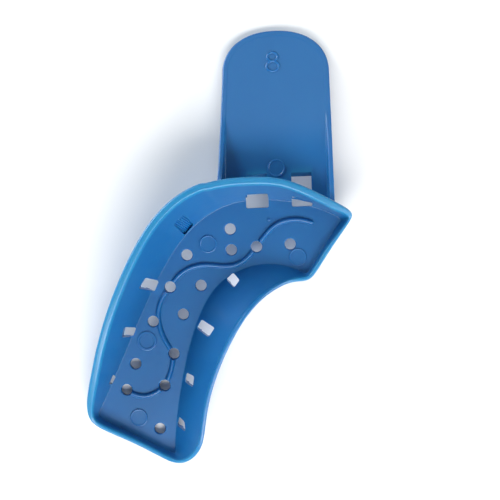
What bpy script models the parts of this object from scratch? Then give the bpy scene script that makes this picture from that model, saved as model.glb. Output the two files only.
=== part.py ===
"""Disposable impression tray for one quarter of a dental arch.

The tray is a single injection moulding. It is drawn here feature by feature: a perforated
floor, the four walls of the trough, a thumb handle with two stiffening rails, a wavy
retention rib on the floor and a raised size number.

Everything is drawn flat on the floor's underside (X to the right, Y along the handle to its
tip, Z out of the trough). A frame then tips the tray over until it rests on the back edge of
its floor and on the tip of its handle, as it does on a table.
"""

import bpy
import numpy as np
from mathutils import Matrix, Vector

MM = 0.001

# Driving dimensions, in millimetres.
FLOOR_THICKNESS = 1.6
FOOT_THICKNESS = 1.6
RIM_THICKNESS = 1.15
OUTER_LIP = 1.9
PLAIN_LIP = 1.05
RIM_ROUNDING = 0.35
LIP_EDGE = 1.2
LIP_ROOT = 1.9
FLOOR_CHAMFER = 0.6
FEATURE_GAP = 0.3

HOLE_DIAMETER = 2.5
RIB_WIDTH = 1.2
RIB_HEIGHT = 0.9

HANDLE_HALF_WIDTH = 12.1
HANDLE_TAPER = 0.034
HANDLE_SKEW = 0.030
HANDLE_SHOULDER = 28.6
HANDLE_TIP = 38.3
TIP_FULLNESS = 2.2
BEND_START = 6.0
BEND_END = 20.0
BEND_SLOPE = 0.32
RAIL_THICKNESS = 1.2
RAIL_INSET = 0.25
RAIL_END = 19.5
LEFT_RAIL_RISE = 6.5
RIGHT_RAIL_RISE = 2.4

NUMBER_CENTRE = (-0.6, 31.2)
NUMBER_RELIEF = 0.7
NUMBER_STROKE = 0.8
NUMBER_WIDTH = 3.4
NUMBER_HEIGHT = 4.9

# How finely curved features are divided.
STEPS_PER_STATION = 4
HOLE_SIDES = 24
HANDLE_COLUMNS = 20
HANDLE_ROWS = 16
RAIL_ROWS = 12
RING_SIDES = 28
STEPS_PER_RIB_POINT = 4

# The wall all round the floor, counter-clockwise from the front right corner: x and y of its
# foot, x and y of its rim, and how high the rim is above the floor.
OUTER_WALL_STATIONS = [
    (13.7, -4.8, 16.1, -3.9, 3.0),
    (12.8, -4.3, 15.7, -2.7, 3.8),
    (10.9, -3.0, 12.0, -0.4, 5.2),
    (6.0, -1.3, 7.1, 2.4, 7.6),
    (0.0, 0.2, 0.7, 5.5, 9.4),
    (-6.5, 0.5, -6.7, 5.8, 10.4),
    (-12.6, -0.5, -14.9, 5.5, 11.2),
    (-18.5, -3.8, -23.0, 2.3, 12.4),
    (-23.5, -8.9, -29.6, -4.3, 13.0),
    (-28.2, -16.3, -34.4, -12.7, 13.0),
    (-32.2, -24.2, -38.3, -21.2, 12.6),
    (-35.9, -32.0, -41.3, -29.4, 11.0),
    (-39.0, -38.6, -43.3, -36.6, 8.8),
    (-42.1, -45.0, -45.2, -43.3, 6.0),
    (-43.5, -47.5, -45.2, -47.4, 4.0),
]
BACK_END_STATIONS = [
    (-42.4, -48.3, -43.3, -49.8, 3.6),
    (-35.3, -52.1, -35.8, -53.1, 3.4),
    (-28.4, -55.6, -29.5, -56.7, 3.4),
    (-26.8, -56.5, -27.4, -57.9, 3.6),
    (-26.0, -56.8, -24.9, -58.5, 4.4),
]
INNER_WALL_STATIONS = [
    (-25.9, -55.8, -22.2, -57.6, 6.0),
    (-25.8, -52.5, -18.9, -54.1, 9.0),
    (-25.0, -46.5, -18.1, -47.4, 10.2),
    (-23.7, -40.0, -16.7, -41.7, 10.6),
    (-22.0, -33.0, -14.2, -35.2, 11.6),
    (-19.6, -26.0, -11.3, -29.6, 12.4),
    (-16.4, -20.0, -8.9, -25.8, 12.6),
    (-12.0, -16.3, -7.5, -24.1, 12.0),
    (-6.4, -14.2, -5.0, -21.5, 9.8),
    (-0.6, -14.2, -1.5, -19.3, 6.8),
    (3.4, -15.8, 2.1, -18.1, 3.8),
]
FRONT_END_STATIONS = [
    (5.2, -16.9, 5.3, -18.4, 3.0),
    (6.0, -16.2, 7.1, -17.2, 3.0),
    (9.5, -10.4, 10.9, -11.2, 3.0),
    (12.9, -5.9, 15.7, -5.0, 3.0),
]

# Centres of the round perforations.
HOLE_CENTRES = [
    (-11.5, -6.1), (-11.4, -10.8), (-5.7, -10.3), (1.9, -10.0), (-21.5, -11.6),
    (-25.6, -18.7), (-18.6, -18.6), (-22.9, -25.0), (-29.8, -26.4), (-25.4, -33.9),
    (-34.2, -35.9), (-27.8, -41.1), (-36.5, -41.8), (-29.3, -51.0),
]

# Straight-pull windows through the foot of the wall, as corners seen from above.
WALL_WINDOWS = [
    [(-7.7, -1.6), (-2.6, -1.6), (-2.6, 1.5), (-7.7, 1.5)],
    [(2.6, -1.6), (7.2, -1.6), (7.2, -0.6), (2.6, 0.9)],
    [(-32.1, -18.2), (-29.2, -19.7), (-28.1, -17.3), (-30.6, -15.9)],
    [(-36.6, -29.3), (-34.5, -29.7), (-33.7, -27.7), (-35.8, -26.8)],
    [(-40.4, -40.2), (-39.8, -40.4), (-38.9, -38.8), (-39.3, -37.9)],
    [(-12.8, -17.4), (-11.0, -19.1), (-9.7, -17.5), (-11.2, -16.0)],
    [(-19.9, -28.3), (-17.0, -29.8), (-15.5, -27.6), (-18.7, -26.2)],
    [(-23.1, -40.3), (-21.1, -41.1), (-20.7, -38.6), (-22.6, -38.2)],
    [(-25.3, -50.3), (-23.3, -51.3), (-23.4, -49.1), (-24.7, -48.2)],
]
# Windows through the root of the handle, under the wall: left and right side, and back and
# front. They meet the two front windows of the wall.
HANDLE_WINDOWS = [(-7.4, -2.7), (2.7, 7.2)]
HANDLE_WINDOW_REACH = (0.4, 5.1)
HANDLE_WINDOW_TOP = 5.2

# The retention rib's route over the floor, in stretches that stop short of the perforations.
RIB_ROUTES = [
    [(7.2, -5.6), (4.0, -4.5), (0.6, -4.8), (-2.0, -6.1), (-4.6, -8.6)],
    [(-6.9, -12.1), (-9.6, -14.0), (-13.2, -14.4), (-17.2, -13.9), (-20.7, -14.5), (-24.2, -16.8)],
    [(-26.6, -20.4), (-27.9, -22.4), (-28.3, -23.9)],
    [(-28.7, -28.7), (-27.9, -30.4), (-26.7, -31.9)],
    [(-25.8, -36.1), (-26.1, -37.7), (-27.0, -39.0)],
    [(-29.0, -42.5), (-31.4, -43.5), (-34.4, -43.1)],
]

# Blue polystyrene in the shades that the features show, and how glossy each one is.
COLOURS = {
    "floor_plate": (0.050, 0.190, 0.450, 0.32),
    "outer_wall": (0.045, 0.200, 0.500, 0.30),
    "inner_wall": (0.030, 0.130, 0.380, 0.30),
    "front_end_wall": (0.045, 0.190, 0.480, 0.30),
    "back_end_wall": (0.055, 0.230, 0.520, 0.30),
    "handle_plate": (0.045, 0.170, 0.400, 0.36),
    "left_handle_rail": (0.050, 0.210, 0.480, 0.34),
    "right_handle_rail": (0.050, 0.210, 0.480, 0.34),
    "size_number": (0.060, 0.220, 0.500, 0.34),
    "retention_rib": (0.060, 0.210, 0.480, 0.32),
}


def clear_scene():
    for old in list(bpy.data.objects):
        bpy.data.objects.remove(old, do_unlink=True)


def plastic(name, feature):
    """A Principled material in the feature's own shade of blue."""
    red, green, blue, roughness = COLOURS[feature]
    material = bpy.data.materials.new(name)
    material.use_nodes = True
    shader = material.node_tree.nodes["Principled BSDF"]
    shader.inputs["Base Color"].default_value = (red, green, blue, 1.0)
    shader.inputs["Roughness"].default_value = roughness
    shader.inputs["Metallic"].default_value = 0.0
    return material


def add_solid(name, points, faces, frame, feature=None):
    """Makes a closed mesh object from points in millimetres and hangs it on the frame."""
    mesh = bpy.data.meshes.new(name)
    mesh.from_pydata([tuple(point) for point in np.asarray(points) * MM], [], faces)
    mesh.shade_smooth()
    mesh.set_sharp_from_angle(angle=np.radians(35.0))
    solid = bpy.data.objects.new(name, mesh)
    solid.parent = frame
    bpy.context.scene.collection.objects.link(solid)
    if feature:
        mesh.materials.append(plastic(name, feature))
    return solid


def add_cutter(name, points, faces, frame):
    cutter = add_solid(name, points, faces, frame)
    cutter.hide_render = True
    cutter.display_type = "WIRE"
    return cutter


def cut(solid, *cutters):
    for cutter in cutters:
        boolean = solid.modifiers.new(cutter.name, "BOOLEAN")
        boolean.operation = "DIFFERENCE"
        boolean.solver = "EXACT"
        boolean.object = cutter


def ring_stack(rings, closed_path=False):
    """Points and faces of a solid whose skin runs through equal rings of points.

    The rings are stacked along a path. An open path gets a flat cap at each end, and a closed
    path joins its last ring to its first.
    """
    rings = np.asarray(rings)
    count, sides = rings.shape[:2]
    spans = count if closed_path else count - 1
    faces = []
    for i in range(spans):
        for j in range(sides):
            here, there = i * sides, ((i + 1) % count) * sides
            k = (j + 1) % sides
            faces.append((here + j, here + k, there + k, there + j))
    if not closed_path:
        faces.append(tuple(range(sides))[::-1])
        faces.append(tuple(range((count - 1) * sides, count * sides)))
    return rings.reshape(-1, 3), faces


def prism(outline, low, high):
    """A straight prism on a counter-clockwise outline."""
    outline = np.asarray(outline, dtype=float)
    rings = [np.column_stack([outline, np.full(len(outline), z)]) for z in (low, high)]
    return ring_stack(rings)


def join_shapes(shapes):
    """Several separate shapes as one set of points and faces."""
    points, faces, start = [], [], 0
    for shape_points, shape_faces in shapes:
        points.extend(shape_points)
        faces.extend(tuple(start + i for i in face) for face in shape_faces)
        start += len(shape_points)
    return points, faces


# The wall all round the floor -----------------------------------------------------------


def wall_stations():
    """All stations in order, each with its lip's width: wide on the outer wall between its ends."""
    stations = OUTER_WALL_STATIONS + BACK_END_STATIONS + INNER_WALL_STATIONS + FRONT_END_STATIONS
    lips = np.full(len(stations), PLAIN_LIP)
    lips[1:len(OUTER_WALL_STATIONS) - 1] = OUTER_LIP
    return np.column_stack([stations, lips])


def foot_line(place):
    """The wall's foot and rim, as closed uniform cubic B-splines over the stations.

    place counts stations from the front right corner. Returns the foot points, the directions
    from foot to rim, and the rim's overhang, height and lip at each place.
    """
    stations = wall_stations()
    place = np.asarray(place, dtype=float)
    first = np.floor(place).astype(int)
    f = (place - first)[:, None]
    weights = [(1 - f) ** 3, 3 * f**3 - 6 * f**2 + 4, -3 * f**3 + 3 * f**2 + 3 * f + 1, f**3]
    rows = [stations[(first + k - 1) % len(stations)] for k in range(4)]
    value = sum(w * row for w, row in zip(weights, rows)) / 6
    outward = value[:, 2:4] - value[:, :2]
    overhang = np.linalg.norm(outward, axis=1)
    return value[:, :2], outward / overhang[:, None], overhang, value[:, 4], value[:, 5]


def carry_section(place, sections):
    """Carries section corners (distance outward, height) along the foot line."""
    foot, outward, *_ = foot_line(place)
    rings = np.empty(sections.shape[:2] + (3,))
    rings[..., :2] = foot[:, None] + sections[..., :1] * outward[:, None]
    rings[..., 2] = sections[..., 1]
    return rings


def wall_sections(place):
    """The wall's outline across its thickness, from its inner foot up over the lip and down."""
    _, _, overhang, height, lip = foot_line(place)
    rim = FLOOR_THICKNESS + height
    base = np.full_like(rim, FLOOR_THICKNESS + FEATURE_GAP)
    outer_face = np.minimum(overhang - lip + RIM_THICKNESS, overhang - 0.1)
    corners = [
        (np.zeros_like(rim), base),
        (overhang - lip, rim - RIM_ROUNDING),
        (overhang - lip + RIM_ROUNDING, rim),
        (overhang - RIM_ROUNDING, rim),
        (overhang, rim - RIM_ROUNDING),
        (overhang, rim - LIP_EDGE),
        (outer_face, rim - LIP_ROOT),
        (np.full_like(rim, FOOT_THICKNESS), base),
    ]
    return np.stack([np.column_stack(corner) for corner in corners], axis=1)


def wall_places(first, last):
    """Places from one station to another, short of each by half a gap."""
    ends = []
    for station, side in ((first, 1.0), (last, -1.0)):
        near, _, *_ = foot_line([station, station + 0.5 * side])
        speed = np.linalg.norm(near[1] - near[0]) / 0.5
        ends.append(station + side * 0.5 * FEATURE_GAP / speed)
    count = int(round((last - first) * STEPS_PER_STATION)) + 1
    return np.linspace(*ends, count)


def add_wall(name, first, last, frame):
    place = wall_places(first, last)
    points, faces = ring_stack(carry_section(place, wall_sections(place)))
    return add_solid(name, points, faces, frame, name)


def level_ring(place, outset, z):
    """A ring round the floor at one height, a given distance outside the wall's foot."""
    outset = np.broadcast_to(outset, np.shape(place))
    z = np.broadcast_to(z, np.shape(place))
    return carry_section(place, np.stack([outset, z], axis=-1)[:, None])[:, 0]


def loop_places():
    count = len(wall_stations())
    return np.arange(count * STEPS_PER_STATION) / STEPS_PER_STATION


def add_floor_plate(frame):
    place = loop_places()
    rings = [
        level_ring(place, FOOT_THICKNESS - FLOOR_CHAMFER, 0.0),
        level_ring(place, FOOT_THICKNESS, FLOOR_CHAMFER),
        level_ring(place, FOOT_THICKNESS, FLOOR_THICKNESS),
    ]
    points, faces = ring_stack(rings)
    return add_solid("floor_plate", points, faces, frame, "floor_plate")


def add_trough_clearance(frame):
    """The space that the trough fills, a gap larger all round, which trims the handle."""
    place = loop_places()
    _, _, overhang, height, lip = foot_line(place)
    rim = FLOOR_THICKNESS + height
    wall_face = np.minimum(overhang - lip + RIM_THICKNESS, overhang - 0.1) + FEATURE_GAP
    below, above = -20.0, 30.0
    rings = [
        level_ring(place, FOOT_THICKNESS + FEATURE_GAP, below),
        level_ring(place, FOOT_THICKNESS + FEATURE_GAP, FLOOR_THICKNESS),
        level_ring(place, wall_face, rim - LIP_ROOT - FEATURE_GAP),
        level_ring(place, overhang + FEATURE_GAP, rim - LIP_EDGE - FEATURE_GAP),
        level_ring(place, overhang + FEATURE_GAP, above),
    ]
    return add_cutter("trough_clearance", *ring_stack(rings), frame)


# Perforations and windows ---------------------------------------------------------------


def add_perforations(frame):
    angle = np.linspace(0.0, 2 * np.pi, HOLE_SIDES, endpoint=False)
    circle = HOLE_DIAMETER / 2 * np.column_stack([np.cos(angle), np.sin(angle)])
    shapes = [prism(circle + centre, -2.0, 4.0) for centre in HOLE_CENTRES]
    return add_cutter("perforations", *join_shapes(shapes), frame)


def add_wall_windows(frame):
    shapes = [prism(corners, -2.0, 12.0) for corners in WALL_WINDOWS]
    return add_cutter("wall_windows", *join_shapes(shapes), frame)


def add_handle_windows(frame):
    back, front = HANDLE_WINDOW_REACH
    shapes = []
    for left, right in HANDLE_WINDOWS:
        corners = [(left, back), (right, back), (right, front), (left, front)]
        shapes.append(prism(corners, -8.0, HANDLE_WINDOW_TOP))
    return add_cutter("handle_windows", *join_shapes(shapes), frame)


# Handle ---------------------------------------------------------------------------------


def handle_level(y):
    """Height of the handle's top face: level, then an even bend, then a straight slope."""
    bend = np.clip(y - BEND_START, 0.0, BEND_END - BEND_START)
    straight = np.maximum(y - BEND_END, 0.0)
    return FLOOR_THICKNESS - BEND_SLOPE * (bend**2 / (2 * (BEND_END - BEND_START)) + straight)


def handle_side(y, across):
    """X on the handle, from across -1 at its left edge to 1 at its right edge.

    Towards the root the handle grows wider, and its middle drifts to the left.
    """
    below = np.maximum(HANDLE_SHOULDER - y, 0.0)
    return across * (HANDLE_HALF_WIDTH + HANDLE_TAPER * below) - HANDLE_SKEW * below


def add_handle_plate(frame):
    """A grid of columns that run from inside the floor to a full oval at the tip."""
    across = np.sin(np.linspace(-np.pi / 2, np.pi / 2, HANDLE_COLUMNS + 1))
    reach = np.maximum(1 - np.abs(across) ** TIP_FULLNESS, 0.0) ** (1 / TIP_FULLNESS)
    tip = HANDLE_SHOULDER + (HANDLE_TIP - HANDLE_SHOULDER) * reach
    along = np.linspace(0.0, 1.0, HANDLE_ROWS + 1)
    start = -6.0
    y = start + along[:, None] * (tip - start)
    x = handle_side(y, across)
    upper = np.stack([x, y, handle_level(y)], axis=-1)
    lower = upper - (0.0, 0.0, FLOOR_THICKNESS)
    rings = np.swapaxes(np.concatenate([lower, upper[::-1]]), 0, 1)
    return add_solid("handle_plate", *ring_stack(rings), frame, "handle_plate")


def add_rail(name, side, rise, frame):
    """A thin upright rail on the handle's edge that grows towards the wall."""
    y = np.linspace(-4.0, RAIL_END, RAIL_ROWS + 1)
    edge = handle_side(y, side) - side * RAIL_INSET
    inner = edge - side * RAIL_THICKNESS
    base = handle_level(y) + FEATURE_GAP
    growth = np.clip((RAIL_END - y) / (RAIL_END - 2.0), 0.0, 1.1)
    top = base + 0.5 + rise * growth**1.4
    rings = np.stack([
        np.column_stack([inner, y, base]),
        np.column_stack([edge, y, base]),
        np.column_stack([edge, y, top]),
        np.column_stack([inner, y, top]),
    ], axis=1)
    points, faces = ring_stack(rings)
    if side > 0:
        faces = [face[::-1] for face in faces]
    return add_solid(name, points, faces, frame, name)


# Details on the floor and the handle ----------------------------------------------------


def smooth_route(route):
    """An open uniform cubic B-spline that starts and ends on the route's own ends."""
    route = np.asarray(route, dtype=float)
    ends = 2 * route[[0, -1]] - route[[1, -2]]
    rows = np.vstack([ends[:1], route, ends[1:]])
    place = np.linspace(0.0, len(route) - 1.0, (len(route) - 1) * STEPS_PER_RIB_POINT + 1)
    first = np.minimum(place.astype(int), len(route) - 2)
    f = (place - first)[:, None]
    weights = [(1 - f) ** 3, 3 * f**3 - 6 * f**2 + 4, -3 * f**3 + 3 * f**2 + 3 * f + 1, f**3]
    return sum(w * rows[first + k] for k, w in enumerate(weights)) / 6


def add_rib(name, route, frame):
    path = smooth_route(route)
    along = np.gradient(path, axis=0)
    along /= np.linalg.norm(along, axis=1)[:, None]
    left = np.column_stack([-along[:, 1], along[:, 0]])
    base = FLOOR_THICKNESS + FEATURE_GAP
    top = FLOOR_THICKNESS + RIB_HEIGHT
    corners = [(0.5, base), (0.3, top), (-0.3, top), (-0.5, base)]
    rings = np.stack([
        np.column_stack([path + offset * RIB_WIDTH * left, np.full(len(path), z)])
        for offset, z in corners
    ], axis=1)
    points, faces = ring_stack(rings)
    return add_solid(name, points, faces, frame, "retention_rib")


def ring_shape(centre, width, height, low, high):
    """A flat oval ring with a rectangular stroke."""
    angle = np.linspace(0.0, 2 * np.pi, RING_SIDES, endpoint=False)
    around = np.column_stack([np.cos(angle), np.sin(angle)])
    outer = centre + around * (width / 2, height / 2)
    inner = centre + around * (width / 2 - NUMBER_STROKE, height / 2 - NUMBER_STROKE)
    rings = np.stack([
        np.column_stack([outline, np.full(RING_SIDES, z)])
        for outline, z in ((inner, low), (inner, high), (outer, high), (outer, low))
    ], axis=1)
    return ring_stack(rings, closed_path=True)


def add_size_number(frame):
    """A raised 8, drawn as a smaller ring joined to a larger one, on the handle's slope."""
    overlap = 0.5 * NUMBER_STROKE
    upper_height = 0.47 * (NUMBER_HEIGHT + 2 * overlap)
    lower_height = NUMBER_HEIGHT + 2 * overlap - upper_height
    low, high = FEATURE_GAP, NUMBER_RELIEF
    lower_centre = np.array([0.0, (lower_height - NUMBER_HEIGHT) / 2])
    upper_centre = np.array([0.0, (NUMBER_HEIGHT - upper_height) / 2])
    lower = ring_shape(lower_centre, NUMBER_WIDTH, lower_height, low, high)
    upper = ring_shape(upper_centre, 0.86 * NUMBER_WIDTH, upper_height, low, high)
    number = add_solid("size_number", *lower, frame, "size_number")
    upper_ring = add_cutter("upper_ring", *upper, frame)
    x, y = NUMBER_CENTRE
    for piece in (number, upper_ring):
        piece.location = Vector((x, y, handle_level(y))) * MM
        piece.rotation_euler.x = -np.arctan(BEND_SLOPE)
    union = number.modifiers.new("upper_ring", "BOOLEAN")
    union.operation = "UNION"
    union.solver = "EXACT"
    union.object = upper_ring
    return number


# Rest on a table ------------------------------------------------------------------------


def rest_turn():
    """The turn that brings the tray's three feet level.

    Two feet are the ends of the floor's back edge, the third is the tip of the handle.
    """
    back = len(OUTER_WALL_STATIONS)
    corners = level_ring([back + 0.3, back + 2.0], FOOT_THICKNESS - FLOOR_CHAMFER, 0.0)
    tip = np.array([0.0, HANDLE_TIP, handle_level(HANDLE_TIP) - FLOOR_THICKNESS])
    up = Vector(np.cross(corners[1] - corners[0], tip - corners[0])).normalized()
    return up.rotation_difference(Vector((0.0, 0.0, 1.0))).to_matrix().to_4x4()


def stand_on_table(frame, solids):
    """Turns the frame to rest and centres the tray's box over the origin."""
    frame.matrix_world = rest_turn()
    bpy.context.view_layer.update()
    view = bpy.context.evaluated_depsgraph_get()
    corners = []
    for solid in solids:
        evaluated = solid.evaluated_get(view)
        mesh = evaluated.to_mesh()
        corners.extend(evaluated.matrix_world @ vertex.co for vertex in mesh.vertices)
        evaluated.to_mesh_clear()
    corners = np.array(corners)
    low, high = corners.min(axis=0), corners.max(axis=0)
    centre = (low + high) / 2
    shift = Vector((-centre[0], -centre[1], -low[2]))
    frame.matrix_world = Matrix.Translation(shift) @ rest_turn()
    bpy.context.view_layer.update()


def main():
    clear_scene()
    frame = bpy.data.objects.new("tray_frame", None)
    bpy.context.scene.collection.objects.link(frame)

    perforations = add_perforations(frame)
    wall_windows = add_wall_windows(frame)
    handle_windows = add_handle_windows(frame)
    trough_clearance = add_trough_clearance(frame)

    floor_plate = add_floor_plate(frame)
    cut(floor_plate, perforations, wall_windows, handle_windows)

    front_right = -0.5
    back_outer = front_right + len(OUTER_WALL_STATIONS)
    back_inner = back_outer + len(BACK_END_STATIONS)
    front_left = back_inner + len(INNER_WALL_STATIONS)
    loop_end = front_left + len(FRONT_END_STATIONS)
    outer_wall = add_wall("outer_wall", front_right, back_outer, frame)
    back_wall = add_wall("back_end_wall", back_outer, back_inner, frame)
    inner_wall = add_wall("inner_wall", back_inner, front_left, frame)
    front_wall = add_wall("front_end_wall", front_left, loop_end, frame)
    cut(outer_wall, wall_windows, handle_windows)
    cut(inner_wall, wall_windows)

    handle_plate = add_handle_plate(frame)
    cut(handle_plate, trough_clearance, handle_windows)
    left_rail = add_rail("left_handle_rail", -1, LEFT_RAIL_RISE, frame)
    right_rail = add_rail("right_handle_rail", 1, RIGHT_RAIL_RISE, frame)
    for rail in (left_rail, right_rail):
        cut(rail, trough_clearance)

    ribs = [add_rib(f"retention_rib_{i}", route, frame) for i, route in enumerate(RIB_ROUTES, 1)]
    number = add_size_number(frame)

    walls = [outer_wall, back_wall, inner_wall, front_wall]
    stand_on_table(frame, [floor_plate, handle_plate, left_rail, right_rail, number] + walls + ribs)


main()
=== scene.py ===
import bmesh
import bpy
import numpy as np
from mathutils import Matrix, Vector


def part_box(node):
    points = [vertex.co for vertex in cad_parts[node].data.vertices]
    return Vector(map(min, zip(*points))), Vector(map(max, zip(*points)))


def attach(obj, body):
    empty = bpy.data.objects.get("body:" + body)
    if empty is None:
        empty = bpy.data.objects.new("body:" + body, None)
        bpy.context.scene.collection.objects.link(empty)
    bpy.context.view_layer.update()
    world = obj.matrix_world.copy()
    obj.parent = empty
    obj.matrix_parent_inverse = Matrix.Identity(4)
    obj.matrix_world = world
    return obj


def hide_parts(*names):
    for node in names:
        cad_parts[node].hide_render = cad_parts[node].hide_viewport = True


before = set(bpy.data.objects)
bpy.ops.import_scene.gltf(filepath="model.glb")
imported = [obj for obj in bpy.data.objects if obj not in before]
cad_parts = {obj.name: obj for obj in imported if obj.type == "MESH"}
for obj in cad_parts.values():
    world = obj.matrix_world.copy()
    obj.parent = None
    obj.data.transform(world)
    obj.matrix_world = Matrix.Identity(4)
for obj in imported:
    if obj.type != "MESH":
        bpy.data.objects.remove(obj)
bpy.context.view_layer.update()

# Looks of a disposable impression tray for one quarter of a dental arch.
#
# The tray is one injection moulding of blue polystyrene. The trough and the handle are skins
# worked out as functions of two parameters and replace the plain solids of the frame. The
# raised rib, the size number and the traces of moulding are skins too, joined on to them.
#
# All sizes are in millimetres on the tray as it was drawn, flat on its floor's underside, with
# Y along the handle. The last step tips each piece to rest on the table, as the frame is.

MM = 0.001

# Wall and floor of the trough.
FLOOR_THICKNESS = 1.6
FOOT_THICKNESS = 1.6
RIM_THICKNESS = 1.15
OUTER_LIP = 1.9
PLAIN_LIP = 1.05
FLOOR_CHAMFER = 0.6
FLOOR_MARGIN = 0.38
HOLE_DIAMETER = 2.5
HOLE_EDGE = 0.28
WINDOW_CORNER = 0.45

# Handle.
HANDLE_HALF_WIDTH = 12.1
HANDLE_TAPER = 0.034
HANDLE_SKEW = 0.030
HANDLE_SHOULDER = 28.6
HANDLE_TIP = 38.3
TIP_FULLNESS = 2.2
BEND_START = 6.0
BEND_END = 20.0
BEND_SLOPE = 0.32
RAIL_THICKNESS = 1.2
RAIL_END = 19.5
LEFT_RAIL_RISE = 6.5
RIGHT_RAIL_RISE = 2.4

# The wall all round the floor, counter-clockwise from the front right corner: x and y of its
# foot, x and y of its rim, and how high the rim is above the floor.
OUTER_WALL_STATIONS = [
    (13.7, -4.8, 16.1, -3.9, 3.0),
    (12.8, -4.3, 15.7, -2.7, 3.8),
    (10.9, -3.0, 12.0, -0.4, 5.2),
    (6.0, -1.3, 7.1, 2.4, 7.6),
    (0.0, 0.2, 0.7, 5.5, 9.4),
    (-6.5, 0.5, -6.7, 5.8, 10.4),
    (-12.6, -0.5, -14.9, 5.5, 11.2),
    (-18.5, -3.8, -23.0, 2.3, 12.4),
    (-23.5, -8.9, -29.6, -4.3, 13.0),
    (-28.2, -16.3, -34.4, -12.7, 13.0),
    (-32.2, -24.2, -38.3, -21.2, 12.6),
    (-35.9, -32.0, -41.3, -29.4, 11.0),
    (-39.0, -38.6, -43.3, -36.6, 8.8),
    (-42.1, -45.0, -45.2, -43.3, 6.0),
    (-43.5, -47.5, -45.2, -47.4, 4.0),
]
BACK_END_STATIONS = [
    (-42.4, -48.3, -43.3, -49.8, 3.6),
    (-35.3, -52.1, -35.8, -53.1, 3.4),
    (-28.4, -55.6, -29.5, -56.7, 3.4),
    (-26.8, -56.5, -27.4, -57.9, 3.6),
    (-26.0, -56.8, -24.9, -58.5, 4.4),
]
INNER_WALL_STATIONS = [
    (-25.9, -55.8, -22.2, -57.6, 6.0),
    (-25.8, -52.5, -18.9, -54.1, 9.0),
    (-25.0, -46.5, -18.1, -47.4, 10.2),
    (-23.7, -40.0, -16.7, -41.7, 10.6),
    (-22.0, -33.0, -14.2, -35.2, 11.6),
    (-19.6, -26.0, -11.3, -29.6, 12.4),
    (-16.4, -20.0, -8.9, -25.8, 12.6),
    (-12.0, -16.3, -7.5, -24.1, 12.0),
    (-6.4, -14.2, -5.0, -21.5, 9.8),
    (-0.6, -14.2, -1.5, -19.3, 6.8),
    (3.4, -15.8, 2.1, -18.1, 3.8),
]
FRONT_END_STATIONS = [
    (5.2, -16.9, 5.3, -18.4, 3.0),
    (6.0, -16.2, 7.1, -17.2, 3.0),
    (9.5, -10.4, 10.9, -11.2, 3.0),
    (12.9, -5.9, 15.7, -5.0, 3.0),
]
STATIONS = OUTER_WALL_STATIONS + BACK_END_STATIONS + INNER_WALL_STATIONS + FRONT_END_STATIONS

HOLE_CENTRES = [
    (-11.5, -6.1), (-11.4, -10.8), (-5.7, -10.3), (1.9, -10.0), (-21.5, -11.6),
    (-25.6, -18.7), (-18.6, -18.6), (-22.9, -25.0), (-29.8, -26.4), (-25.4, -33.9),
    (-34.2, -35.9), (-27.8, -41.1), (-36.5, -41.8), (-29.3, -51.0),
]
WALL_WINDOWS = [
    [(-7.7, -1.6), (-2.6, -1.6), (-2.6, 1.5), (-7.7, 1.5)],
    [(2.6, -1.6), (7.2, -1.6), (7.2, -0.6), (2.6, 0.9)],
    [(-32.1, -18.2), (-29.2, -19.7), (-28.1, -17.3), (-30.6, -15.9)],
    [(-36.6, -29.3), (-34.5, -29.7), (-33.7, -27.7), (-35.8, -26.8)],
    [(-40.4, -40.2), (-39.8, -40.4), (-38.9, -38.8), (-39.3, -37.9)],
    [(-12.8, -17.4), (-11.0, -19.1), (-9.7, -17.5), (-11.2, -16.0)],
    [(-19.9, -28.3), (-17.0, -29.8), (-15.5, -27.6), (-18.7, -26.2)],
    [(-23.1, -40.3), (-21.1, -41.1), (-20.7, -38.6), (-22.6, -38.2)],
    [(-25.3, -50.3), (-23.3, -51.3), (-23.4, -49.1), (-24.7, -48.2)],
]
BLIND_WINDOW = [(-23.6, -4.2), (-21.8, -7.1), (-19.6, -4.7), (-21.3, -2.1)]
BLIND_DEPTH = 1.4         # straight down from the wall's face
BLIND_THICKNESS = 1.2
BLIND_PITCH = 0.48
HANDLE_WINDOWS = [(-7.4, -2.7), (2.7, 7.2)]
HANDLE_WINDOW_REACH = (0.4, 5.1)
HANDLE_WINDOW_TOP = 5.2
HANDLE_WINDOW_CHAMFER = 1.1

RIB_ROUTE = [
    (7.3, -5.5), (4.5, -4.5), (1.8, -4.5), (-0.6, -5.1), (-2.6, -6.5), (-4.2, -8.4),
    (-5.7, -10.3), (-7.3, -12.3), (-9.6, -14.2), (-13.1, -14.7), (-17.3, -13.8),
    (-20.9, -14.4), (-23.8, -16.2), (-25.6, -18.7), (-27.8, -21.4), (-28.6, -24.2),
    (-28.6, -26.8), (-27.7, -30.0), (-26.4, -32.4), (-25.4, -33.9), (-25.9, -36.8),
    (-26.6, -39.0), (-27.8, -41.1), (-29.7, -42.8), (-32.4, -43.6), (-34.9, -43.0),
    (-36.5, -41.8),
]
RIB_WIDTH = 1.25
RIB_HEIGHT = 0.8

NUMBER_CENTRE = (-0.6, 31.2)
NUMBER_STROKE = 0.62
NUMBER_WIDTH = 3.4
NUMBER_HEIGHT = 4.9
NUMBER_RELIEF = 0.28

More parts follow.
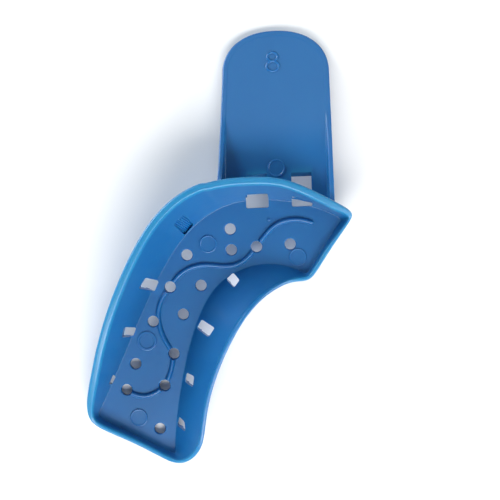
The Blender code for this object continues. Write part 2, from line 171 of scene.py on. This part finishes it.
# Round marks of moulding: radii and heights of their profiles, from the edge inward.
EJECTOR_PAD = ([2.0, 2.0, 1.95, 1.85, 1.7, 1.6, 0.02], [-0.3, 0.12, 0.23, 0.27, 0.25, 0.17, 0.15])
EJECTOR_RING = (
    [2.25, 2.25, 2.2, 2.1, 1.75, 1.65, 1.6, 0.02],
    [-0.3, 0.1, 0.19, 0.23, 0.23, 0.15, 0.05, 0.03],
)
GATE_NUB = ([0.4, 0.4, 0.36, 0.28, 0.15, 0.01], [-0.3, 0.03, 0.12, 0.2, 0.25, 0.26])
FLOOR_MARKS = [
    ((-16.6, -9.3), EJECTOR_PAD), ((3.5, -13.0), EJECTOR_PAD), ((-31.4, -30.8), EJECTOR_RING),
    ((-34.0, -48.3), EJECTOR_PAD), ((-2.7, -4.3), GATE_NUB),
]
HANDLE_PAD_CENTRE = (-0.6, 7.2)

SKIN_STEP = 1.0           # how far apart the wall's sections stand on a straight stretch
SKIN_TURN = 0.09          # and by how many radians the wall turns between them
SKIN_SECTIONS = 430
SHARP_EDGE = 17.0         # degrees

# The plastic's patterns, by the size of one patch.
STREAK_SIZE = 18.2
POLISH_SIZE = 1.11
GRAIN_SIZE = 0.71
GRAIN_DEPTH = 0.1

CAMERA_AIM = (-7.2, -11.0, 1.6)
CAMERA_HEIGHT = 355.6
CAMERA_ROLL = -2.2        # degrees


# The wall's foot, the same line as in the frame's solids --------------------------------


def spline_weights(f):
    """The four weights, over six, of a uniform cubic B-spline a share f into its stretch."""
    return [(1 - f) ** 3, 3 * f**3 - 6 * f**2 + 4, -3 * f**3 + 3 * f**2 + 3 * f + 1, f**3]


def foot_line(place):
    """The wall's foot and rim as closed cubic B-splines over the stations.

    place counts stations from the front right corner. Returns the foot points, the unit
    vectors from foot to rim, and the rim's overhang, height and lip width there.
    """
    lips = np.full(len(STATIONS), PLAIN_LIP)
    lips[1:len(OUTER_WALL_STATIONS) - 1] = OUTER_LIP
    rows = np.column_stack([STATIONS, lips])
    place = np.asarray(place, dtype=float)
    first = np.floor(place).astype(int)
    f = (place - first)[:, None]
    near = [rows[(first + k - 1) % len(rows)] for k in range(4)]
    value = sum(w * row for w, row in zip(spline_weights(f), near)) / 6
    outward = value[:, 2:4] - value[:, :2]
    overhang = np.linalg.norm(outward, axis=1)
    return value[:, :2], outward / overhang[:, None], overhang, value[:, 4], value[:, 5]


def loop_places(steps):
    """Evenly spread places once round the wall."""
    return np.arange(len(STATIONS) * steps) / steps


def even_places(count):
    """Places once round the wall, as close together as the foot's length and turning ask for."""
    place = loop_places(60)
    foot, outward, *_ = foot_line(place)
    step = np.linalg.norm(np.roll(foot, -1, axis=0) - foot, axis=1)
    turn = np.linalg.norm(np.roll(outward, -1, axis=0) - outward, axis=1)
    effort = np.concatenate([[0.0], np.cumsum(step / SKIN_STEP + turn / SKIN_TURN)])
    place = np.append(place, place[-1] + place[1])
    return np.interp(np.linspace(0.0, effort[-1], count, endpoint=False), effort, place)


def carry_round(place, section):
    """Carries a section (outward, height) along the foot: foot + outward * direction, height."""
    foot, outward, *_ = foot_line(place)
    skin = np.empty(section.shape[:2] + (3,))
    skin[..., :2] = foot[:, None] + section[..., :1] * outward[:, None]
    skin[..., 2] = section[..., 1]
    return skin


def smooth_step(x):
    """0 below 0, 1 above 1, and 3x^2 - 2x^3 between."""
    x = np.clip(x, 0.0, 1.0)
    return x * x * (3 - 2 * x)


# Skins ----------------------------------------------------------------------------------


def round_corners(corners, reach, arc_steps, side_shares):
    """Rounds the inner corners of a polyline in every section at once.

    corners is (sections, corners, 2) and reach how far each inner corner's rounding runs
    along its two sides, at most 0.45 of the shorter one. A rounding is the quadratic Bezier
    curve from one side over the corner to the other. side_shares are the places of extra
    points along the straight stretches, as shares of their length.
    """
    sides = np.diff(corners, axis=1)
    lengths = np.linalg.norm(sides, axis=2)
    units = sides / lengths[..., None]
    reach = np.minimum(reach, 0.45 * np.minimum(lengths[:, :-1], lengths[:, 1:]))[..., None]
    middle = corners[:, 1:-1]
    start, end = middle - reach * units[:, :-1], middle + reach * units[:, 1:]
    t = np.linspace(0.0, 1.0, arc_steps + 1)[:, None]
    arcs = [
        (1 - t) ** 2 * start[:, i, None] + 2 * t * (1 - t) * middle[:, i, None] + t**2 * end[:, i, None]
        for i in range(middle.shape[1])
    ]
    shares = np.asarray(side_shares)[:, None]
    from_points = [corners[:, 0]] + [end[:, i] for i in range(middle.shape[1])]
    to_points = [start[:, i] for i in range(middle.shape[1])] + [corners[:, -1]]
    straights = [a[:, None] + shares * (b - a)[:, None] for a, b in zip(from_points, to_points)]
    bands = [corners[:, :1], straights[0]]
    for arc, straight in zip(arcs, straights[1:]):
        bands += [arc, straight]
    return np.concatenate(bands + [corners[:, -1:]], axis=1)


def skin_faces(rows, columns, closed_rows, closed_columns):
    """Quads of a grid of points, wrapped round in either direction."""
    i = np.arange(rows if closed_rows else rows - 1)[:, None]
    j = np.arange(columns if closed_columns else columns - 1)[None, :]
    here, right = i * columns + j, i * columns + (j + 1) % columns
    below = (i + 1) % rows * columns + j
    across = (i + 1) % rows * columns + (j + 1) % columns
    return np.stack([here, below, across, right], axis=-1).reshape(-1, 4)


def mesh_object(name, points, faces, painted_glow=None):
    """A mesh object from points in millimetres, its seams and poles merged.

    The glow values, one a point, are 1 where the colour is painted paler: a painted glow of light through
    thin plastic and painted sheen on the rims.
    """
    mesh = bpy.data.meshes.new(name)
    mesh.from_pydata(np.asarray(points).reshape(-1, 3) * MM, [], faces)
    if painted_glow is not None:
        mesh.attributes.new("painted_glow", "FLOAT", "POINT").data.foreach_set("value", painted_glow.ravel())
    merged = bmesh.new()
    merged.from_mesh(mesh)
    bmesh.ops.remove_doubles(merged, verts=merged.verts, dist=1e-7)
    bmesh.ops.dissolve_degenerate(merged, edges=merged.edges, dist=1e-8)
    bmesh.ops.recalc_face_normals(merged, faces=merged.faces)
    if merged.calc_volume(signed=True) < 0.0:
        bmesh.ops.reverse_faces(merged, faces=merged.faces)
    merged.to_mesh(mesh)
    merged.free()
    piece = bpy.data.objects.new(name, mesh)
    bpy.context.scene.collection.objects.link(piece)
    return piece


def closed_skin(name, skin, painted_glow=None):
    """A solid whose skin is closed along its rows, with a flat cap over each end."""
    rows, columns = skin.shape[:2]
    faces = skin_faces(rows, columns, False, True).tolist()
    faces.append(list(range(columns)))
    faces.append(list(range((rows - 1) * columns, rows * columns)))
    return mesh_object(name, skin, faces, painted_glow)


def vertex_places(piece):
    """The x, y and z of every vertex, in millimetres."""
    places = np.empty(3 * len(piece.data.vertices), dtype=np.float32)
    piece.data.vertices.foreach_get("co", places)
    return places.reshape(-1, 3).T / MM


def smooth_shading(piece, angle):
    """Smooth faces, with every edge sharper than the angle in degrees left sharp."""
    piece.data.shade_smooth()
    piece.data.set_sharp_from_angle(angle=np.radians(angle))


def combine(piece, operation, others):
    """Cuts other solids, which stand clear of each other, out of a piece or joins them to it.

    The slivers that this leaves along the cuts are merged away.
    """
    group = bmesh.new()
    for other in others:
        group.from_mesh(other.data)
        bpy.data.objects.remove(other, do_unlink=True)
    tool = bpy.data.objects.new("tool", bpy.data.meshes.new("tool"))
    group.to_mesh(tool.data)
    group.free()
    bpy.context.scene.collection.objects.link(tool)
    step = piece.modifiers.new("tool", "BOOLEAN")
    step.operation = operation
    step.solver = "EXACT"
    step.object = tool
    view = bpy.context.evaluated_depsgraph_get()
    mesh = bpy.data.meshes.new_from_object(piece.evaluated_get(view))
    cleaned = bmesh.new()
    cleaned.from_mesh(mesh)
    bmesh.ops.remove_doubles(cleaned, verts=cleaned.verts, dist=1e-7)
    bmesh.ops.dissolve_degenerate(cleaned, edges=cleaned.edges, dist=1e-7)
    cleaned.to_mesh(mesh)
    cleaned.free()
    piece.modifiers.clear()
    piece.data = mesh
    bpy.data.objects.remove(tool, do_unlink=True)


# Trough ---------------------------------------------------------------------------------


def trough_section(place):
    """The wall from the floor's top, up its inner face, over the lip and down to the underside.

    The inner face leans out in a straight line up to the lip, the lip flares and rolls over,
    and the outer face comes down to a rounded edge under the floor.
    """
    _, _, overhang, height, lip = foot_line(place)
    flash = smooth_step((place - 6.15) / 0.06) * (1 - smooth_step((place - 6.4) / 2.2))
    overhang = overhang + 0.3 * flash
    rim = FLOOR_THICKNESS + height
    outer_face = np.minimum(overhang - lip + RIM_THICKNESS, overhang - 0.1)
    corners = [
        (np.full_like(rim, -FLOOR_MARGIN), np.full_like(rim, FLOOR_THICKNESS)),
        (np.zeros_like(rim), np.full_like(rim, FLOOR_THICKNESS)),
        (overhang - lip, rim - 0.75),
        (overhang - 0.82 * lip, rim - 0.06),
        (overhang - 0.05, rim - 0.02),
        (overhang, rim - 1.6),
        (outer_face, rim - 2.3),
        (np.full_like(rim, FOOT_THICKNESS), np.full_like(rim, FLOOR_THICKNESS)),
        (np.full_like(rim, FOOT_THICKNESS - 0.15), np.zeros_like(rim)),
        (np.full_like(rim, FOOT_THICKNESS - 1.3), np.zeros_like(rim)),
    ]
    corners = np.stack([np.column_stack(corner) for corner in corners], axis=1)
    reach = np.array([0.34, 0.6, 0.5, 0.7, 0.45, 0.5, 0.5, 0.6])
    return round_corners(corners, reach, 9, (0.04, 0.2, 0.4, 0.6, 0.8, 0.96))


def trough_shell():
    """The trough's skin: the wall section carried once round the foot, capped by two flat faces.

    The colour is painted paler over the last millimetre below the rim, rising along a smooth step, as
    painted glow and sheen.
    It is weaker along the inner wall, whose rim is rounder.
    """
    place = even_places(SKIN_SECTIONS)
    skin = carry_round(place, trough_section(place))
    rim = FLOOR_THICKNESS + foot_line(place)[3]
    inner = smooth_step((place - 20.0) / 1.5) * (1 - smooth_step((place - 29.0) / 1.5))
    # Painted glow and sheen: a paler colour painted on the wall's top millimetre under the rim.
    painted_glow = (1 - 0.65 * inner)[:, None] * smooth_step((skin[..., 2] - rim[:, None] + 1.25) / 0.6)
    return closed_skin("trough_shell", np.swapaxes(skin, 0, 1), painted_glow.T)


def outline_prism(name, corners, low, high, corner_reach):
    """A straight prism on a polygon with rounded corners."""
    corners = np.array(corners, dtype=float)
    middle = (corners[:1] + corners[-1:]) / 2
    loop = np.vstack([middle, corners, middle])[None]
    outline = round_corners(loop, corner_reach, 6, ())[0][:-1]
    skin = np.stack([np.column_stack([outline, np.full(len(outline), z)]) for z in (low, high)])
    return closed_skin(name, skin)


def hole_cutter(number, centre):
    """A turned plug that leaves a hole with rounded edges.

    Its radius is the hole's, and grows along a quarter circle towards each face of the floor.
    """
    roll = np.radians(np.linspace(0.0, 68.0, 7))
    growth, rise = HOLE_EDGE * (1 - np.cos(roll)), HOLE_EDGE * np.sin(roll)
    radius = HOLE_DIAMETER / 2 + np.concatenate([growth[-1:], growth[::-1], growth, growth[-1:]])
    top, bottom = FLOOR_THICKNESS - HOLE_EDGE, HOLE_EDGE
    height = np.concatenate([[-2.0], bottom - rise[::-1], top + rise, [4.0]])
    turn = np.linspace(0.0, 2 * np.pi, 64, endpoint=False)
    skin = np.empty((len(radius), len(turn), 3))
    skin[..., 0] = centre[0] + radius[:, None] * np.cos(turn)
    skin[..., 1] = centre[1] + radius[:, None] * np.sin(turn)
    skin[..., 2] = height[:, None]
    return closed_skin(f"hole_{number}", skin)


def wall_window_cutters():
    """Plugs for the windows through the wall's foot."""
    return [
        outline_prism(f"window_{i}", corners, -3.0, 13.0, WINDOW_CORNER)
        for i, corners in enumerate(WALL_WINDOWS + [BLIND_WINDOW])
    ]


def handle_window_cutters():
    """Plugs for the two windows at the handle's root, which run on into the wall.

    Each is one profile in Y and Z, with the chamfer towards the handle, carried along X.
    """
    back, front = HANDLE_WINDOW_REACH
    over, slant = FLOOR_THICKNESS + 0.15, HANDLE_WINDOW_CHAMFER
    profile = np.array([
        (back, -4.0), (front, -4.0), (front, over - slant), (front + slant, over),
        (front + slant, HANDLE_WINDOW_TOP), (back, HANDLE_WINDOW_TOP),
    ])
    cutters = []
    for i, sides in enumerate(HANDLE_WINDOWS):
        skin = np.stack([np.column_stack([np.full(len(profile), x), profile]) for x in sides])
        cutters.append(closed_skin(f"handle_window_{i}", skin))
    return cutters


def wall_level(x, y):
    """Height of the outer wall's inner face over points between its foot and its lip.

    Each point lies on the line that runs from one place of the foot straight outward, and
    the face rises evenly along that line.
    """
    foot, outward, overhang, height, lip = foot_line(np.linspace(4.0, 9.0, 400))
    offset = np.stack([x, y], axis=-1)[..., None, :] - foot
    beside = np.abs(offset[..., 0] * outward[:, 1] - offset[..., 1] * outward[:, 0])
    nearest = np.argmin(beside, axis=-1)
    out = np.take_along_axis((offset * outward).sum(axis=-1), nearest[..., None], axis=-1)[..., 0]
    return FLOOR_THICKNESS + out * ((height - 0.75) / (overhang - lip))[nearest]


def blind_window():
    """The membrane that closes the blind window, with fine ridges across it.

    Its top follows the wall's inner face some way below it, plus a sine wave over x + y.
    """
    corners = np.array(BLIND_WINDOW)
    corners = corners.mean(axis=0) + 1.06 * (corners - corners.mean(axis=0))
    u, v = np.linspace(0.0, 1.0, 90)[:, None, None], np.linspace(0.0, 1.0, 90)[None, :, None]
    low_side = corners[0] + u * (corners[1] - corners[0])
    high_side = corners[3] + u * (corners[2] - corners[3])
    flat = low_side + v * (high_side - low_side)
    x, y = flat[..., 0], flat[..., 1]
    top = wall_level(x, y) - BLIND_DEPTH + 0.15 * np.sin(2 * np.pi * (x + y) / np.sqrt(2) / BLIND_PITCH)
    upper = np.stack([x, y, np.maximum(top, 0.8)], axis=-1)
    under = np.maximum(wall_level(x, y) - BLIND_DEPTH - BLIND_THICKNESS, 0.1)
    lower = np.stack([x, y, under], axis=-1)
    return closed_skin("blind_window", np.concatenate([upper, lower[:, ::-1]], axis=1))


# Handle ---------------------------------------------------------------------------------


def handle_level(y):
    """Height of the handle's top face: level, then an even bend, then a straight slope."""
    bend = np.clip(y - BEND_START, 0.0, BEND_END - BEND_START)
    straight = np.maximum(y - BEND_END, 0.0)
    return FLOOR_THICKNESS - BEND_SLOPE * (bend**2 / (2 * (BEND_END - BEND_START)) + straight)


def handle_half_outline(count, side):
    """One side of the handle's outline from its root to the tip, as x, y and outward vectors.

    The side is a straight taper up to the shoulder and a quarter of an oval after it, with
    x^n + y^n = 1. x counts towards the side, which is 1 for right and -1 for left.
    """
    y = np.linspace(-1.0, HANDLE_SHOULDER, count)[:-1]
    taper = HANDLE_TAPER - side * HANDLE_SKEW
    straight = np.column_stack([HANDLE_HALF_WIDTH + taper * (HANDLE_SHOULDER - y), y])
    straight_out = np.broadcast_to(np.array([1.0, taper]) / np.hypot(1.0, taper), straight.shape)
    turn = np.linspace(0.0, np.pi / 2, count)
    across, along = np.cos(turn), np.sin(turn)
    across[-1], length, n = 0.0, HANDLE_TIP - HANDLE_SHOULDER, TIP_FULLNESS
    end = np.column_stack([
        HANDLE_HALF_WIDTH * across ** (2 / n), HANDLE_SHOULDER + length * along ** (2 / n),
    ])
    end_out = np.column_stack([
        across ** (2 - 2 / n) / HANDLE_HALF_WIDTH, along ** (2 - 2 / n) / length,
    ])
    end_out /= np.linalg.norm(end_out, axis=1)[:, None]
    return np.vstack([straight, end]), np.vstack([straight_out, end_out])


def handle_edge(count, side, rise):
    """The handle's edge with its rail, carried along half of the outline.

    In the section the plate's top runs out to the rail's root, up its inner face, over its
    top, and down the outer face to the underside. The rail grows from nothing towards the
    root as the 1.4th power of the distance. Returns points with x to the outside.
    """
    outline, outward = handle_half_outline(count, side)
    y = outline[:, 1]
    growth = np.clip((RAIL_END - y) / (RAIL_END - 2.0), 0.0, 1.1)
    rail = 0.06 + (rise + 0.5) * growth**1.4
    zero = np.zeros_like(y)
    corners = [
        (zero - 2.2, zero),
        (zero - RAIL_THICKNESS - 0.05 - 0.03 * rail, zero),
        (zero - RAIL_THICKNESS + 0.15, rail),
        (zero, rail),
        (zero, zero - FLOOR_THICKNESS),
        (zero - 1.6, zero - FLOOR_THICKNESS),
    ]
    corners = np.stack([np.column_stack(corner) for corner in corners], axis=1)
    section = round_corners(corners, np.array([0.5, 0.32, 0.42, 0.55]), 8, (0.1, 0.35, 0.65, 0.9))
    skin = np.empty(section.shape[:2] + (3,))
    skin[..., :2] = outline[:, None] + section[..., :1] * outward[:, None]
    skin[..., 2] = handle_level(skin[..., 1]) + section[..., 1]
    return skin


def fit_root_to_wall(skin):
    """Bends the handle's root so that it ends inside the wall at every height.

    Each point near the root moves along Y to the middle of the wall, which curves with x and
    leans out with height, and the move fades to nothing further along the handle.
    """
    place = np.linspace(-0.5, 7.5, 300)
    foot, outward, overhang, height, lip = foot_line(place)
    lean = (overhang - lip) / height
    line = foot + 0.75 * outward
    order = np.argsort(line[:, 0])
    x = skin[..., 0]
    base = np.interp(x, line[order, 0], line[order, 1])
    slant = np.interp(x, line[order, 0], (lean * outward[:, 1])[order])
    wanted = np.maximum(base + slant * np.maximum(skin[..., 2] - FLOOR_THICKNESS, 0.0), -3.3)
    fade = 1 - smooth_step((skin[..., 1] + 1.0) / 9.0)
    skin[..., 1] += fade * (wanted + 1.0)
    return skin


def handle():
    """The handle: a closed ring of points across it, carried from the root to the tip.

    Each ring runs up the left edge, over the top face, down the right edge and back under.
    At the tip the edges meet and their points are merged. At the root a strip of faces from
    the top to the underside and one face over each edge's section close it.
    """
    count = 70
    right = handle_edge(count, 1, RIGHT_RAIL_RISE)
    left = handle_edge(count, -1, LEFT_RAIL_RISE)
    left[..., 0] *= -1
    share = np.linspace(0.0, 1.0, 30)[1:-1, None]
    top = left[:, :1] * (1 - share) + right[:, :1] * share
    under = right[:, -1:] * (1 - share) + left[:, -1:] * share
    ring = fit_root_to_wall(np.concatenate([left[:, ::-1], top, right, under], axis=1))
    rows, columns = ring.shape[:2]
    edge, middle = left.shape[1], len(share)
    faces = skin_faces(rows, columns, False, True).tolist()
    faces += [list(range(edge)), list(range(edge + middle, 2 * edge + middle))]
    over = list(range(edge - 1, edge + middle + 1))
    below = [0] + list(range(columns - 1, columns - middle - 2, -1))
    faces += [list(corners) for corners in zip(over, over[1:], below[1:], below)]
    return mesh_object("handle", ring, faces)


def paint_window_glow(grip):
    """Paints a paler glow on the plastic in front of the handle windows, over the chamfer's shade.

    The value falls off along Y like a bell curve from the chamfer, between each window's sides.
    """
    x, y, _ = vertex_places(grip)
    bell = np.exp(-(((y - HANDLE_WINDOW_REACH[1] - 0.8) / 1.1) ** 2))
    inside = sum(
        smooth_step((x - left + 0.4) / 0.8) * smooth_step((right + 0.4 - x) / 0.8)
        for left, right in HANDLE_WINDOWS
    )
    # Painted glow: a paler colour painted where the chamfer would lie in shade.
    painted_light = grip.data.attributes.new("painted_glow", "FLOAT", "POINT")
    painted_light.data.foreach_set("value", 0.8 * bell * inside)


# Raised details -------------------------------------------------------------------------


def smooth_route(route, steps):
    """An open cubic B-spline over the route's points that keeps both its ends."""
    route = np.asarray(route, dtype=float)
    ends = 2 * route[[0, -1]] - route[[1, -2]]
    rows = np.vstack([ends[:1], route, ends[1:]])
    place = np.linspace(0.0, len(route) - 1.0, (len(route) - 1) * steps + 1)
    first = np.minimum(place.astype(int), len(route) - 2)
    f = (place - first)[:, None]
    return sum(w * rows[first + k] for k, w in enumerate(spline_weights(f))) / 6


def retention_rib():
    """A low rounded rib along its route.

    Across the route its height is a flattened half-circle, 1 - |s|^2.6, and both ends taper
    to a round point.
    """
    path = smooth_route(RIB_ROUTE, 14)
    along = np.gradient(path, axis=0)
    step = np.linalg.norm(along, axis=1)
    left = np.column_stack([-along[:, 1], along[:, 0]]) / step[:, None]
    run = np.cumsum(step)
    from_end = np.minimum(run - run[0], run[-1] - run)
    round_end = np.sqrt(np.clip(1 - (1 - np.clip(from_end / 0.7, 0.02, 1.0)) ** 2, 0.0, 1.0))
    s = np.linspace(1.0, -1.0, 15)
    skin = np.empty((len(path), len(s) + 2, 3))
    across = np.concatenate([s, [-1.0, 1.0]]) * RIB_WIDTH / 2
    height = np.concatenate([RIB_HEIGHT * (1 - np.abs(s) ** 2.6), [-0.3, -0.3]])
    skin[..., :2] = path[:, None] + (across * round_end[:, None])[..., None] * left[:, None]
    skin[..., 2] = FLOOR_THICKNESS + height * np.where(height > 0, round_end[:, None], 1.0)
    return closed_skin("retention_rib", skin)


def oval_bead(name, centre, width, height):
    """A flattened bead round an oval, lying on the handle's slope."""
    turn = np.linspace(0.0, 2 * np.pi, 64, endpoint=False)[:, None]
    roll = np.linspace(0.0, 2 * np.pi, 16, endpoint=False)[None, :]
    reach = NUMBER_STROKE / 2 * np.cos(roll)
    x = centre[0] + np.cos(turn) * (width / 2 - NUMBER_STROKE / 2 + reach)
    y = centre[1] + np.sin(turn) * (height / 2 - NUMBER_STROKE / 2 + reach)
    z = handle_level(y) + NUMBER_RELIEF * np.sin(roll)
    faces = skin_faces(64, 16, True, True).tolist()
    return mesh_object(name, np.stack([x, y, z], axis=-1), faces)


def size_number():
    """A raised 8: a smaller oval bead joined to a larger one below it."""
    upper_height = 0.47 * (NUMBER_HEIGHT + NUMBER_STROKE)
    lower_height = NUMBER_HEIGHT + NUMBER_STROKE - upper_height
    x, y = NUMBER_CENTRE
    lower_centre = (x, y + (lower_height - NUMBER_HEIGHT) / 2)
    upper_centre = (x, y + (NUMBER_HEIGHT - upper_height) / 2)
    lower = oval_bead("raised_number", lower_centre, NUMBER_WIDTH, lower_height)
    upper = oval_bead("raised_number_top", upper_centre, 0.86 * NUMBER_WIDTH, upper_height)
    combine(lower, "UNION", [upper])
    return lower


def disc_mark(name, centre, radii, heights):
    """A round mark turned about its centre: its radii and heights, on the face that it is on."""
    turn = np.linspace(0.0, 2 * np.pi, 72, endpoint=False)
    radii, heights = np.array(radii), np.array(heights)
    x = centre[0] + radii[:, None] * np.cos(turn)
    y = centre[1] + radii[:, None] * np.sin(turn)
    z = handle_level(y) + heights[:, None]
    skin = np.stack([x, y, z], axis=-1)[::-1]
    return closed_skin(name, skin)


def floor_marks():
    """The faint round pads that the ejector pins leave, and the nub where the plastic came in."""
    return [disc_mark("floor_mark", centre, *profile) for centre, profile in FLOOR_MARKS]


# Materials ------------------------------------------------------------------------------


def linear(hex_colour):
    """A linear colour from an sRGB hex value."""
    values = np.array([int(hex_colour[i:i + 2], 16) for i in (1, 3, 5)]) / 255
    values = np.where(values <= 0.04045, values / 12.92, ((values + 0.055) / 1.055) ** 2.4)
    return (*values, 1.0)


def add_node(tree, kind, links=None, **settings):
    """Adds a node, sets its properties and sockets, and links its inputs."""
    node = tree.nodes.new(kind)
    for key, value in settings.items():
        if hasattr(node, key):
            setattr(node, key, value)
        else:
            node.inputs[key.replace("_", " ")].default_value = value
    for socket, source in (links or {}).items():
        tree.links.new(source, node.inputs[socket])
    return node


def patches(tree, place, size, detail):
    """Soft noise whose patches are about one size across, in millimetres."""
    links = {"Vector": place.outputs["Object"]}
    return add_node(tree, "ShaderNodeTexNoise", links, Scale=1 / (size * MM), Detail=detail).outputs["Fac"]


def moulded_polystyrene(name, low, high, painted_light, roughness, scatter):
    """Blue polystyrene, injection moulded in a polished steel mould, a little translucent.

    The mould was polished by hand, so the shine is soft and slightly uneven, with a grain too
    shallow to feel. The colour drifts a little where the pigment streaked as the plastic
    flowed. The rims and the plastic in front of the handle windows are painted paler: a painted glow of
    light through the thin plastic and painted sheen on the rims.
    """
    material = bpy.data.materials.new(name)
    material.use_nodes = True
    tree = material.node_tree
    shader = tree.nodes["Principled BSDF"]
    place = add_node(tree, "ShaderNodeTexCoord")

    streaks = patches(tree, place, STREAK_SIZE, 3.0)
    colour = add_node(tree, "ShaderNodeMix", {"Factor": streaks}, data_type="RGBA")
    colour.inputs[6].default_value = linear(low)
    colour.inputs[7].default_value = linear(high)
    # Painted glow and sheen: the colour is mixed towards the paler blue wherever the glow attribute is
    # set, on the rims and in front of the handle windows.
    edge = add_node(tree, "ShaderNodeAttribute", attribute_name="painted_glow")
    painted_glow_mix = add_node(tree, "ShaderNodeMix", {"Factor": edge.outputs["Fac"]}, data_type="RGBA")
    tree.links.new(colour.outputs[2], painted_glow_mix.inputs[6])
    painted_glow_mix.inputs[7].default_value = linear(painted_light)
    tree.links.new(painted_glow_mix.outputs[2], shader.inputs["Base Color"])

    shine = add_node(tree, "ShaderNodeMapRange", {"Value": patches(tree, place, POLISH_SIZE, 4.0)})
    shine.inputs["To Min"].default_value = roughness - 0.05
    shine.inputs["To Max"].default_value = roughness + 0.07
    tree.links.new(shine.outputs["Result"], shader.inputs["Roughness"])
    grain = {"Height": patches(tree, place, GRAIN_SIZE, 2.0)}
    bump = add_node(tree, "ShaderNodeBump", grain, Strength=0.08, Distance=GRAIN_DEPTH * MM)
    tree.links.new(bump.outputs["Normal"], shader.inputs["Normal"])

    shader.inputs["IOR"].default_value = 1.55
    shader.inputs["Specular IOR Level"].default_value = 0.5
    shader.inputs["Subsurface Weight"].default_value = scatter
    shader.inputs["Subsurface Radius"].default_value = (0.3, 0.7, 1.0)
    shader.inputs["Subsurface Scale"].default_value = 0.0012
    return material


def table_top():
    """White laminate, pressed smooth, which shows as an even matt white."""
    material = bpy.data.materials.new("white_laminate_pressed")
    material.use_nodes = True
    shader = material.node_tree.nodes["Principled BSDF"]
    shader.inputs["Base Color"].default_value = linear("#F4F5F7")
    shader.inputs["Roughness"].default_value = 0.6
    return material


# Place on the table, camera and light ---------------------------------------------------


def rest_turn():
    """The turn that levels the tray's three feet: the floor's back edge and the handle's tip."""
    place = np.array([len(OUTER_WALL_STATIONS) + 0.3, len(OUTER_WALL_STATIONS) + 2.0])
    edge = np.array([[[FOOT_THICKNESS - FLOOR_CHAMFER, 0.0]]] * 2)
    corners = carry_round(place, edge)[:, 0]
    tip = np.array([0.0, HANDLE_TIP, handle_level(HANDLE_TIP) - FLOOR_THICKNESS])
    up = Vector(np.cross(corners[1] - corners[0], tip - corners[0])).normalized()
    return up.rotation_difference(Vector((0.0, 0.0, 1.0))).to_matrix().to_4x4()


def rest_place():
    """Where the tray rests: the turn above, moved so that the floor fills its own CAD box."""
    turn = rest_turn()
    place = loop_places(4)
    outline = np.array([
        (FOOT_THICKNESS - FLOOR_CHAMFER, 0.0),
        (FOOT_THICKNESS, FLOOR_CHAMFER),
        (FOOT_THICKNESS, FLOOR_THICKNESS),
    ])
    rings = carry_round(place, np.broadcast_to(outline, (len(place), 3, 2))).reshape(-1, 3)
    low = (rings * MM @ np.array(turn.to_3x3()).T).min(axis=0)
    corner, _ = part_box("floor_plate")
    return Matrix.Translation(corner - Vector(low)) @ turn


def add_light(name, position, size, power, colour):
    """A soft box that faces the tray."""
    data = bpy.data.lights.new(name, "AREA")
    data.shape = "RECTANGLE"
    data.size, data.size_y = size
    data.energy = power
    data.color = colour
    light = bpy.data.objects.new(name, data)
    light.location = position
    light.rotation_euler = (-Vector(position)).to_track_quat("-Z", "Y").to_euler()
    bpy.context.scene.collection.objects.link(light)


def set_stage(place):
    """A white table top, soft boxes in a light tent, and a camera straight above the tray.

    The tent is bright at table height and dims evenly to grey above.
    """
    scene = bpy.context.scene
    scene.view_settings.view_transform = "Standard"
    bpy.ops.mesh.primitive_plane_add(size=3.0, location=(0.0, 0.0, -0.00002))
    table = bpy.context.object
    table.name = "table_top"
    table.data.materials.append(table_top())

    add_light("window", (0.02, -0.40, 0.43), (0.5, 0.3), 4.3, (1.0, 0.99, 0.97))
    add_light("ceiling", (0.05, 0.36, 0.60), (0.45, 0.3), 0.6, (0.88, 0.97, 1.0))
    add_light("left_panel", (-0.38, 0.30, 0.20), (0.3, 0.22), 2.4, (0.93, 0.98, 1.0))
    add_light("right_panel", (0.48, -0.15, 0.20), (0.3, 0.2), 1.4, (1.0, 0.99, 0.97))
    world = bpy.data.worlds.new("studio")
    world.use_nodes = True
    tree = world.node_tree
    background = tree.nodes["Background"]
    background.inputs["Color"].default_value = (0.94, 0.97, 1.0, 1.0)
    look = add_node(tree, "ShaderNodeTexCoord")
    up = add_node(tree, "ShaderNodeSeparateXYZ", {"Vector": look.outputs["Generated"]})
    tent = add_node(tree, "ShaderNodeMapRange", {"Value": up.outputs["Z"]})
    tent.inputs["From Max"].default_value = 0.6
    tent.inputs["To Min"].default_value = 0.5
    tent.inputs["To Max"].default_value = 0.11
    tree.links.new(tent.outputs["Result"], background.inputs["Strength"])
    scene.world = world

    data = bpy.data.cameras.new("camera")
    data.lens = 111.8
    data.sensor_width = 36.0
    camera = bpy.data.objects.new("camera", data)
    middle = place @ (Vector(CAMERA_AIM) * MM)
    camera.location = (middle.x, middle.y, CAMERA_HEIGHT * MM)
    camera.rotation_euler = (0.0, 0.0, np.radians(CAMERA_ROLL))
    scene.collection.objects.link(camera)
    scene.camera = camera


def main():
    place = rest_place()
    # The third colour is the painted glow and sheen on the rims and by the handle windows.
    plastic = moulded_polystyrene("blue_polystyrene_moulded", "#125F9A", "#1667A4", "#2280B0", 0.34, 0.6)

    trough = trough_shell()
    combine(trough, "UNION", [retention_rib()] + floor_marks())
    holes = [hole_cutter(i, centre) for i, centre in enumerate(HOLE_CENTRES)]
    combine(trough, "DIFFERENCE", holes + wall_window_cutters())
    combine(trough, "DIFFERENCE", handle_window_cutters())
    membrane = blind_window()
    grip = handle()
    combine(grip, "UNION", [size_number(), disc_mark("handle_pad", HANDLE_PAD_CENTRE, *EJECTOR_PAD)])
    combine(grip, "DIFFERENCE", handle_window_cutters())
    paint_window_glow(grip)

    ribs = [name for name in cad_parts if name.startswith("retention_rib")]
    walls = ["outer_wall", "inner_wall", "front_end_wall", "back_end_wall"]
    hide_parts("floor_plate", *walls, *ribs)
    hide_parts("handle_plate", "left_handle_rail", "right_handle_rail", "size_number")
    for piece in (trough, grip, membrane):
        piece.data.transform(place)
        piece.data.materials.clear()
        piece.data.materials.append(plastic)
        smooth_shading(piece, SHARP_EDGE)
        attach(piece, "root")
    set_stage(place)


main()
